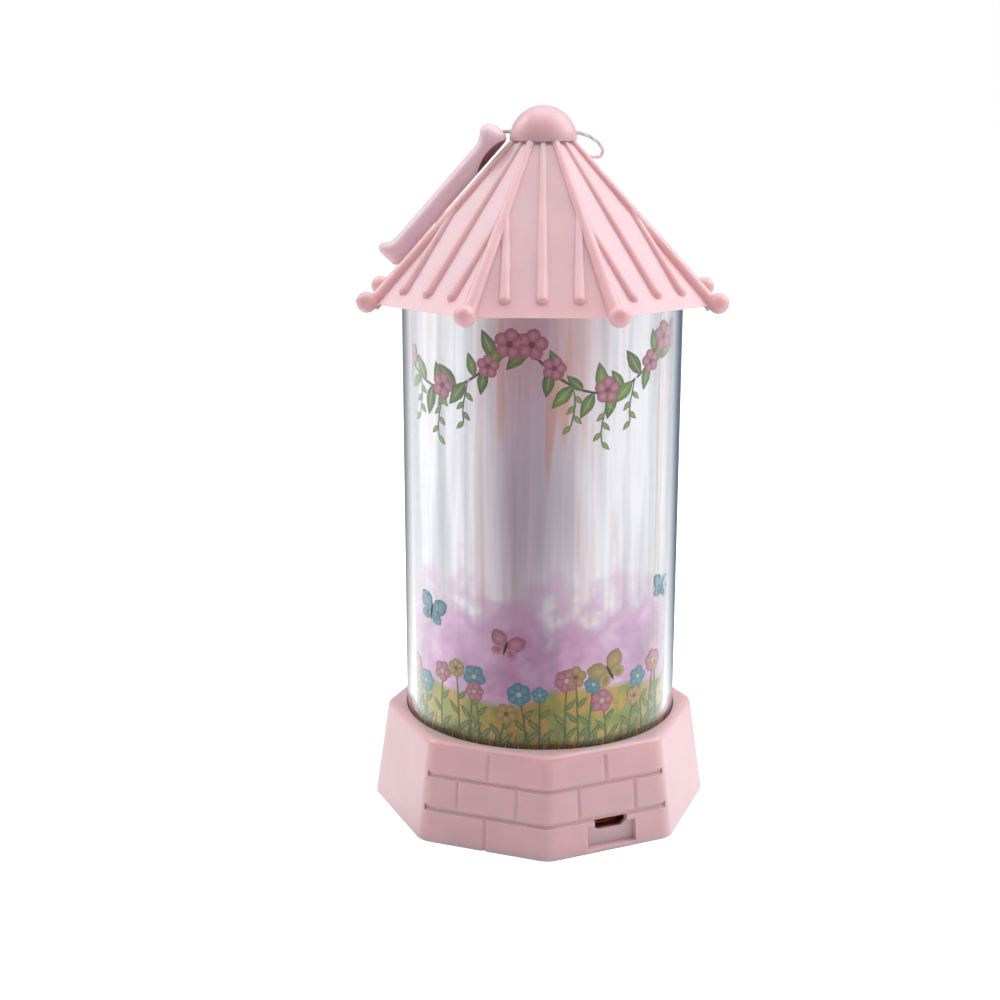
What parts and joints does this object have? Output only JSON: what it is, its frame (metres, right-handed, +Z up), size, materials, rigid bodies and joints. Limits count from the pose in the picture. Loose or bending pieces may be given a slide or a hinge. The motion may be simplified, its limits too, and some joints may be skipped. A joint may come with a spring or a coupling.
{
  "type": "LED flame lantern",
  "caption": "Pagoda-roofed table lantern: printed clear tube on a brick-moulded octagonal base with charging port, underside switch and a cord-hung hand grip on the roof.",
  "frame": {"origin": "centre of the base's foot, on the surface that the lantern stands on", "axes": "+Z up along the tube's axis, -Y toward the picture's front, +X to its right; the grip lies on the roof's -X face"},
  "size_m": [0.08, 0.08, 0.16],
  "materials": {
    "pink_plastic": "satin moulded plastic",
    "clear_acrylic": "clear, polished",
    "printed_film": "printed silvery film",
    "white_plastic": "matte",
    "black_plastic": "matte",
    "socket_nylon": "moulded nylon",
    "steel": "zinc plated",
    "socket_metal": "plated",
    "board": "lacquered",
    "emitter": "clear amber resin",
    "cell_wrap": "foil pouch",
    "lead_red": "insulated wire",
    "lead_black": "insulated wire",
    "cord": "thin twisted cord"
  },
  "bodies": {
    "lantern": {"roof_shell": "pink_plastic", "finial": "pink_plastic", "finial_screw": "steel", "tube_cap": "white_plastic", "cap_screws": "steel", "hanging_cord": "cord", "clear_tube": "clear_acrylic", "picture_film": "printed_film", "lamp_deck": "white_plastic", "lamp_leds": "emitter", "deck_pins": "steel", "base_housing": "pink_plastic", "circuit_board": "board", "board_parts": "black_plastic", "board_screws": "steel", "usb_shell": "socket_metal", "usb_tongue": "socket_nylon", "switch_case": "black_plastic", "battery_cell": "cell_wrap", "battery_lead_red": "lead_red", "battery_lead_black": "lead_black", "bottom_cover": "pink_plastic", "cover_screws": "steel"},
    "grip": {"hand_grip": "pink_plastic", "cord_knots": "cord"},
    "slider": {"switch_slider": "white_plastic"}
  },
  "joints": [
    {"name": "grip_lift", "type": "hinge", "parent": "lantern", "child": "grip", "pos_m": [-0.00923, 0, 0.15386], "axis": [0, 1, 0], "range_deg": [0, 90], "deforming": ["hanging_cord"]},
    {"name": "switch_slide", "type": "slide", "parent": "lantern", "child": "slider", "axis": [0.9026, 0.4305, 0], "range_m": [0, 0.002]}
  ]
}
